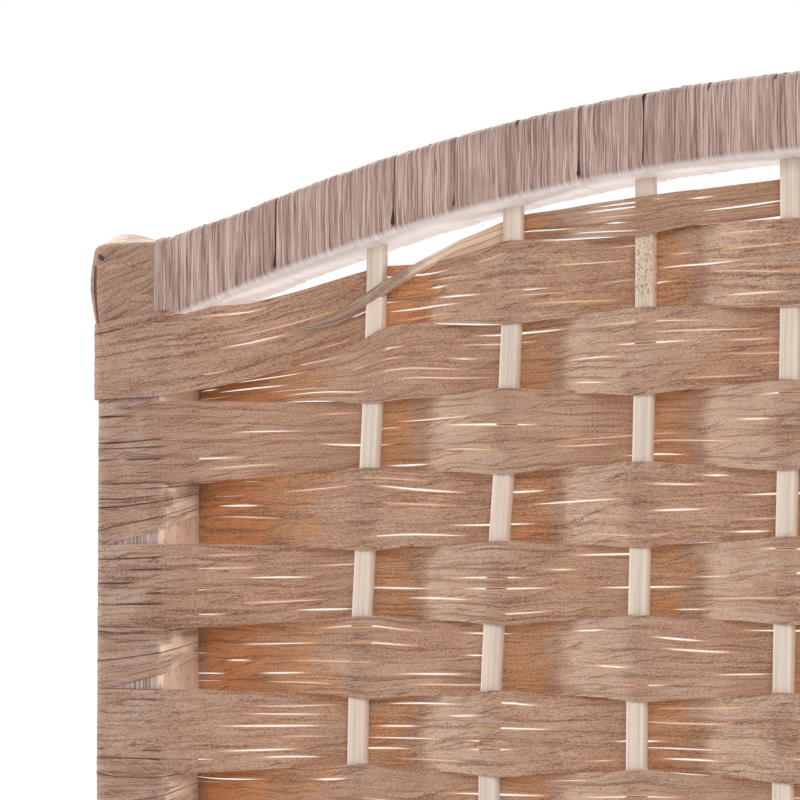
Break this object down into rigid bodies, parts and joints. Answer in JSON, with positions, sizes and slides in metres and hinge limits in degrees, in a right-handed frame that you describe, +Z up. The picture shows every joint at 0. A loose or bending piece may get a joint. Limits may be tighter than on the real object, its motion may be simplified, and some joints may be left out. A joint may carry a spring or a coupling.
{
  "type": "folding screen",
  "caption": "Freestanding folding screen of arched wooden frames woven with flat fibre ribbon over upright stakes, joined edge to edge by butt hinges.",
  "frame": {"origin": "on the floor, under the middle of the whole screen as it stands in its zigzag", "axes": "+Z up, +X to the right as seen from the front, +Y towards the back; the front faces -Y"},
  "size_m": [1.2214, 0.2472, 1.7359],
  "materials": {
    "frame_wood": "bare sanded softwood, pale, with fine grain along the piece",
    "stake_wood": "bare split wood, pale cream, matt",
    "fibre_ribbon": "flat twistless fibre ribbon, dry and matt, slightly translucent, with dark streaks along it",
    "crepe_tape": "creped paper tape wound round the rail, matt, ridged across the rail",
    "hinge_metal": "brass plated steel, satin",
    "screw_metal": "brass plated steel, satin"
  },
  "bodies": {
    "left_panel": {"left_panel_left_stile": "frame_wood", "left_panel_right_stile": "frame_wood", "left_panel_top_rail": "frame_wood", "left_panel_bottom_rail": "frame_wood", "left_panel_dowels": "frame_wood", "left_panel_stakes": "stake_wood", "left_panel_odd_rows": "fibre_ribbon", "left_panel_even_rows": "fibre_ribbon", "left_panel_arched_rows": "fibre_ribbon", "left_panel_stile_wraps": "fibre_ribbon", "left_panel_top_tape": "crepe_tape", "left_panel_bottom_tape": "crepe_tape", "left_seam_turning_leaves": "hinge_metal", "left_seam_turning_screws": "screw_metal"},
    "middle_panel": {"middle_panel_left_stile": "frame_wood", "middle_panel_right_stile": "frame_wood", "middle_panel_top_rail": "frame_wood", "middle_panel_bottom_rail": "frame_wood", "middle_panel_dowels": "frame_wood", "middle_panel_stakes": "stake_wood", "middle_panel_odd_rows": "fibre_ribbon", "middle_panel_even_rows": "fibre_ribbon", "middle_panel_arched_rows": "fibre_ribbon", "middle_panel_stile_wraps": "fibre_ribbon", "middle_panel_top_tape": "crepe_tape", "middle_panel_bottom_tape": "crepe_tape", "left_seam_fixed_leaves": "hinge_metal", "left_seam_pins": "hinge_metal", "left_seam_fixed_screws": "screw_metal", "right_seam_fixed_leaves": "hinge_metal", "right_seam_pins": "hinge_metal", "right_seam_fixed_screws": "screw_metal"},
    "right_panel": {"right_panel_left_stile": "frame_wood", "right_panel_right_stile": "frame_wood", "right_panel_top_rail": "frame_wood", "right_panel_bottom_rail": "frame_wood", "right_panel_dowels": "frame_wood", "right_panel_stakes": "stake_wood", "right_panel_odd_rows": "fibre_ribbon", "right_panel_even_rows": "fibre_ribbon", "right_panel_arched_rows": "fibre_ribbon", "right_panel_stile_wraps": "fibre_ribbon", "right_panel_top_tape": "crepe_tape", "right_panel_bottom_tape": "crepe_tape", "right_seam_turning_leaves": "hinge_metal", "right_seam_turning_screws": "screw_metal"}
  },
  "joints": [
    {"name": "left_fold", "type": "hinge", "parent": "middle_panel", "child": "left_panel", "pos_m": [-0.20417, -0.10137, 0.85], "axis": [0, 0, 1], "range_deg": [-120, 60]},
    {"name": "right_fold", "type": "hinge", "parent": "middle_panel", "child": "right_panel", "pos_m": [0.20417, 0.10137, 0.85], "axis": [0, 0, 1], "range_deg": [-120, 60]}
  ]
}
